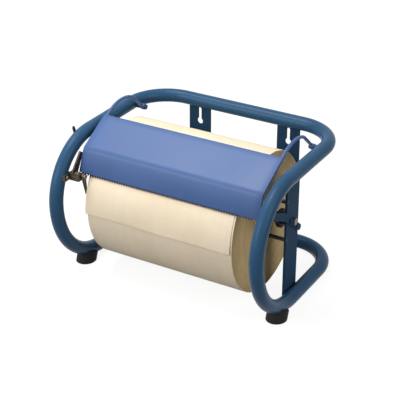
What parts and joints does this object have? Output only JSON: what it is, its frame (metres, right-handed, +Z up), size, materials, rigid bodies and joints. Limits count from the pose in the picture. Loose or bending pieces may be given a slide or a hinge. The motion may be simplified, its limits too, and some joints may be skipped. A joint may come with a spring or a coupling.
{
  "type": "paper roll dispenser and cutter",
  "caption": "Bent-tube stand that holds a jumbo paper roll on an axle, with a hinged sheet cover whose toothed lip tears the paper, a side brake lever and keyhole straps for a wall.",
  "frame": {"origin": "on the counter, midway between the hoops and midway between the front of the hoops and the rear of the rails", "axes": "+X along the roll to the right as seen from the front, +Y to the rear, +Z up"},
  "size_m": [0.43, 0.342, 0.2921],
  "materials": {
    "frame_paint": "satin powder coat",
    "bar_paint": "satin powder coat",
    "cover_paint": "satin powder coat",
    "zinc_steel": "zinc plated",
    "bronze_steel": "bronze passivated",
    "blade_steel": "ground edge",
    "black_steel": "blackened",
    "foot_rubber": "matte",
    "black_plastic": "satin",
    "core_board": "matte",
    "wrapping_paper": "matte"
  },
  "bodies": {
    "frame": {"top_rail": "frame_paint", "lower_rail": "frame_paint", "left_hoop": "frame_paint", "right_hoop": "frame_paint", "left_side_bar": "bar_paint", "right_side_bar": "bar_paint", "left_wall_strap": "bar_paint", "right_wall_strap": "bar_paint", "left_axle_guide": "bar_paint", "right_axle_guide": "bar_paint", "guide_bolts": "bar_paint", "left_foot": "foot_rubber", "right_foot": "foot_rubber", "foot_screws": "zinc_steel", "left_side_stops": "black_steel", "right_side_stops": "black_steel", "cover_pivot_bolts": "frame_paint", "brake_bracket": "bronze_steel", "bracket_bolt": "zinc_steel", "brake_spring": "zinc_steel"},
    "cover": {"cover_shell": "cover_paint", "tear_blade": "blade_steel", "left_cover_arm": "cover_paint", "right_cover_arm": "cover_paint"},
    "axle": {"axle_shaft": "frame_paint", "left_axle_disc": "black_plastic", "right_axle_disc": "black_plastic", "axle_caps": "zinc_steel"},
    "roll": {"cardboard_core": "core_board", "paper_roll": "wrapping_paper", "paper_tail": "wrapping_paper"},
    "brake": {"brake_pin": "zinc_steel", "brake_lever": "bronze_steel", "brake_arm": "bronze_steel", "brake_finger": "bronze_steel"}
  },
  "joints": [
    {"name": "cover_tilt", "type": "hinge", "parent": "frame", "child": "cover", "pos_m": [0, 0.0885, 0.2485], "axis": [-1, 0, 0], "range_deg": [0, 95]},
    {"name": "axle_spin", "type": "hinge", "parent": "frame", "child": "axle", "pos_m": [0, -0.0035, 0.1495], "axis": [1, 0, 0], "continuous": true},
    {"name": "roll_spin", "type": "hinge", "parent": "frame", "child": "roll", "pos_m": [0, -0.0035, 0.1344], "axis": [1, 0, 0], "continuous": true},
    {"name": "brake_tilt", "type": "hinge", "parent": "frame", "child": "brake", "pos_m": [-0.17, -0.126, 0.1995], "axis": [1, 0, 0], "range_deg": [-10, 20], "stiffness_Nm_per_rad": 0.3}
  ]
}
